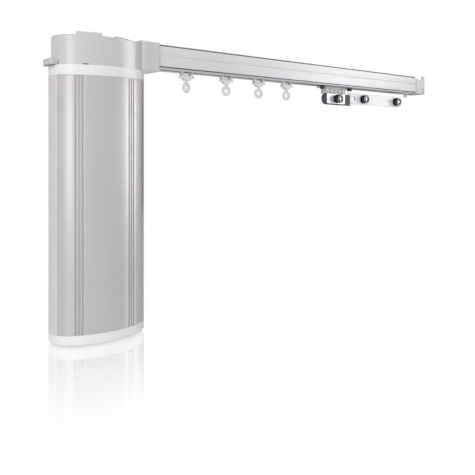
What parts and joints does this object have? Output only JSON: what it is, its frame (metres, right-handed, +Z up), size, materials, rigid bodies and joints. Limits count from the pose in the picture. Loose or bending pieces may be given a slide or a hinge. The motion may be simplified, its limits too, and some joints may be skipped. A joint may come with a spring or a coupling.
{
  "type": "electric curtain track",
  "caption": "Slim curtain track with a hanging oval motor, belt drive, runners with swivelling eyelets and a driven carrier with an overlap arm.",
  "frame": {"origin": "on the ceiling plane, above the motor's shaft", "axes": "+X along the track away from the motor, +Y to the wall, +Z up"},
  "size_m": [0.583, 0.0586, 0.2862],
  "materials": {
    "light_grey_abs": "satin moulded plastic, light grey",
    "grey_nylon": "moulded nylon",
    "sintered_bronze": "oil-filled sintered bush",
    "zinc_steel": "bright zinc plate",
    "grey_tab_plastic": "satin plastic, mid grey",
    "white_acetal": "smooth moulded acetal",
    "ground_steel": "ground",
    "anodised_aluminium": "matt anodised extrusion",
    "belt_rubber": "moulded toothed belt",
    "white_abs": "semi-gloss moulded plastic, white",
    "cast_zinc": "die cast, bare",
    "black_rubber": "soft moulded rubber",
    "silver_panel": "satin anodised extrusion, silver grey",
    "circuit_board": "green solder mask",
    "board_component": "moulded component bodies",
    "black_plastic": "moulded socket",
    "pale_nylon": "moulded nylon, pale",
    "dark_nylon": "moulded nylon, near black",
    "shell_abs": "satin moulded plastic, pale",
    "dark_grey_abs": "satin moulded plastic, mid grey",
    "plated_sheet": "nickel-plated sheet steel",
    "dark_chrome": "dark polished plate",
    "white_arm": "white coated steel strip",
    "runner_nylon": "moulded nylon, light grey"
  },
  "bodies": {
    "track_and_motor": {"ceiling_bracket": "light_grey_abs", "drive_housing": "light_grey_abs", "housing_base": "grey_nylon", "pulley_bearing": "sintered_bronze", "housing_screws": "zinc_steel", "track_sleeve": "light_grey_abs", "track": "anodised_aluminium", "belt": "belt_rubber", "motor_collar": "white_abs", "gearbox_screws": "zinc_steel", "gearbox": "cast_zinc", "motor_can": "zinc_steel", "damping_rings": "black_rubber", "front_panel": "silver_panel", "rear_shell": "shell_abs", "control_board": "circuit_board", "board_parts": "board_component", "bottom_cap": "white_abs", "cap_screws": "zinc_steel", "power_inlet": "black_plastic", "end_housing": "dark_grey_abs", "return_axle": "ground_steel", "end_stop": "white_acetal"},
    "drive_shaft": {"drive_pulley": "white_acetal", "output_shaft": "ground_steel"},
    "idler": {"return_pulley": "white_acetal"},
    "lock": {"lock_slide": "grey_tab_plastic"},
    "button": {"setting_button": "grey_tab_plastic"},
    "carrier": {"carrier_body": "pale_nylon", "carrier_plate": "pale_nylon", "belt_clamp": "grey_nylon", "clamp_screws": "zinc_steel", "buffer_pads": "black_rubber", "arm_holder": "dark_nylon", "front_plate": "plated_sheet", "plate_stud": "dark_chrome", "overlap_arm": "white_arm", "arm_studs": "dark_chrome"},
    "carrier_near_axle": {"carrier_near_wheels": "white_acetal"},
    "carrier_far_axle": {"carrier_far_wheels": "white_acetal"},
    "runner_1_frame": {"runner_1": "runner_nylon"},
    "runner_1_near_axle": {"runner_1_near_wheels": "white_acetal"},
    "runner_1_far_axle": {"runner_1_far_wheels": "white_acetal"},
    "runner_1_hook": {"runner_1_eyelet": "runner_nylon"},
    "runner_2_frame": {"runner_2": "runner_nylon"},
    "runner_2_near_axle": {"runner_2_near_wheels": "white_acetal"},
    "runner_2_far_axle": {"runner_2_far_wheels": "white_acetal"},
    "runner_2_hook": {"runner_2_eyelet": "runner_nylon"},
    "runner_3_frame": {"runner_3": "runner_nylon"},
    "runner_3_near_axle": {"runner_3_near_wheels": "white_acetal"},
    "runner_3_far_axle": {"runner_3_far_wheels": "white_acetal"},
    "runner_3_hook": {"runner_3_eyelet": "runner_nylon"},
    "runner_4_frame": {"runner_4": "runner_nylon"},
    "runner_4_near_axle": {"runner_4_near_wheels": "white_acetal"},
    "runner_4_far_axle": {"runner_4_far_wheels": "white_acetal"},
    "runner_4_hook": {"runner_4_eyelet": "runner_nylon"}
  },
  "joints": [
    {"name": "carrier_travel", "type": "slide", "parent": "track_and_motor", "child": "carrier", "axis": [1, 0, 0], "range_m": [-0.15, 0.11]},
    {"name": "carrier_near_roll", "type": "hinge", "parent": "carrier", "child": "carrier_near_axle", "pos_m": [0.316, 0, -0.021], "axis": [0, 1, 0], "range_deg": [-2457, 1802]},
    {"name": "carrier_far_roll", "type": "hinge", "parent": "carrier", "child": "carrier_far_axle", "pos_m": [0.366, 0, -0.021], "axis": [0, 1, 0], "range_deg": [-2457, 1802]},
    {"name": "drive_turn", "type": "hinge", "parent": "track_and_motor", "child": "drive_shaft", "pos_m": [0, 0, 0], "axis": [0, 0, 1], "range_deg": [-1081, 793]},
    {"name": "idler_turn", "type": "hinge", "parent": "track_and_motor", "child": "idler", "pos_m": [0.5168, 0, 0], "axis": [0, 0, 1], "range_deg": [-1081, 793]},
    {"name": "runner_1_travel", "type": "slide", "parent": "track_and_motor", "child": "runner_1_frame", "axis": [1, 0, 0], "range_m": [-0.0293, 0.0216]},
    {"name": "runner_1_near_roll", "type": "hinge", "parent": "runner_1_frame", "child": "runner_1_near_axle", "pos_m": [0.099, 0, -0.021], "axis": [0, 1, 0], "range_deg": [-473, 347]},
    {"name": "runner_1_far_roll", "type": "hinge", "parent": "runner_1_frame", "child": "runner_1_far_axle", "pos_m": [0.1106, 0, -0.021], "axis": [0, 1, 0], "range_deg": [-473, 347]},
    {"name": "runner_1_swivel", "type": "hinge", "parent": "runner_1_frame", "child": "runner_1_hook", "pos_m": [0.1048, 0, -0.0422], "axis": [0, 0, 1], "continuous": true},
    {"name": "runner_2_travel", "type": "slide", "parent": "track_and_motor", "child": "runner_2_frame", "axis": [1, 0, 0], "range_m": [-0.0646, 0.0475]},
    {"name": "runner_2_near_roll", "type": "hinge", "parent": "runner_2_frame", "child": "runner_2_near_axle", "pos_m": [0.1538, 0, -0.021], "axis": [0, 1, 0], "range_deg": [-1051, 771]},
    {"name": "runner_2_far_roll", "type": "hinge", "parent": "runner_2_frame", "child": "runner_2_far_axle", "pos_m": [0.1654, 0, -0.021], "axis": [0, 1, 0], "range_deg": [-1051, 771]},
    {"name": "runner_2_swivel", "type": "hinge", "parent": "runner_2_frame", "child": "runner_2_hook", "pos_m": [0.1596, 0, -0.0422], "axis": [0, 0, 1], "continuous": true},
    {"name": "runner_3_travel", "type": "slide", "parent": "track_and_motor", "child": "runner_3_frame", "axis": [1, 0, 0], "range_m": [-0.0944, 0.0694]},
    {"name": "runner_3_near_roll", "type": "hinge", "parent": "runner_3_frame", "child": "runner_3_near_axle", "pos_m": [0.2031, 0, -0.021], "axis": [0, 1, 0], "range_deg": [-1539, 1129]},
    {"name": "runner_3_far_roll", "type": "hinge", "parent": "runner_3_frame", "child": "runner_3_far_axle", "pos_m": [0.2147, 0, -0.021], "axis": [0, 1, 0], "range_deg": [-1539, 1129]},
    {"name": "runner_3_swivel", "type": "hinge", "parent": "runner_3_frame", "child": "runner_3_hook", "pos_m": [0.2089, 0, -0.0422], "axis": [0, 0, 1], "continuous": true},
    {"name": "runner_4_travel", "type": "slide", "parent": "track_and_motor", "child": "runner_4_frame", "axis": [1, 0, 0], "range_m": [-0.1207, 0.0886]},
    {"name": "runner_4_near_roll", "type": "hinge", "parent": "runner_4_frame", "child": "runner_4_near_axle", "pos_m": [0.2489, 0, -0.021], "axis": [0, 1, 0], "range_deg": [-1969, 1444]},
    {"name": "runner_4_far_roll", "type": "hinge", "parent": "runner_4_frame", "child": "runner_4_far_axle", "pos_m": [0.2605, 0, -0.021], "axis": [0, 1, 0], "range_deg": [-1969, 1444]},
    {"name": "runner_4_swivel", "type": "hinge", "parent": "runner_4_frame", "child": "runner_4_hook", "pos_m": [0.2547, 0, -0.0422], "axis": [0, 0, 1], "continuous": true},
    {"name": "lock_draw", "type": "slide", "parent": "track_and_motor", "child": "lock", "axis": [-1, 0, 0], "range_m": [0, 0.005]},
    {"name": "button_press", "type": "slide", "parent": "track_and_motor", "child": "button", "axis": [0, 0, 1], "range_m": [0, 0.0012], "stiffness_N_per_m": 400, "springref_m": -0.001}
  ],
  "couplings": [
    {"joint": "carrier_near_roll", "follows": "carrier_travel", "rad_per_m": 285.71},
    {"joint": "carrier_far_roll", "follows": "carrier_travel", "rad_per_m": 285.71},
    {"joint": "drive_turn", "follows": "carrier_travel", "rad_per_m": 125.66},
    {"joint": "idler_turn", "follows": "carrier_travel", "rad_per_m": 125.66},
    {"joint": "runner_1_travel", "follows": "carrier_travel", "ratio": 0.192},
    {"joint": "runner_1_near_roll", "follows": "carrier_travel", "rad_per_m": 54.857},
    {"joint": "runner_1_far_roll", "follows": "carrier_travel", "rad_per_m": 54.857},
    {"joint": "runner_2_travel", "follows": "carrier_travel", "ratio": 0.4273},
    {"joint": "runner_2_near_roll", "follows": "carrier_travel", "rad_per_m": 122.09},
    {"joint": "runner_2_far_roll", "follows": "carrier_travel", "rad_per_m": 122.09},
    {"joint": "runner_3_travel", "follows": "carrier_travel", "ratio": 0.626},
    {"joint": "runner_3_near_roll", "follows": "carrier_travel", "rad_per_m": 178.86},
    {"joint": "runner_3_far_roll", "follows": "carrier_travel", "rad_per_m": 178.86},
    {"joint": "runner_4_travel", "follows": "carrier_travel", "ratio": 0.8013},
    {"joint": "runner_4_near_roll", "follows": "carrier_travel", "rad_per_m": 228.94},
    {"joint": "runner_4_far_roll", "follows": "carrier_travel", "rad_per_m": 228.94}
  ]
}
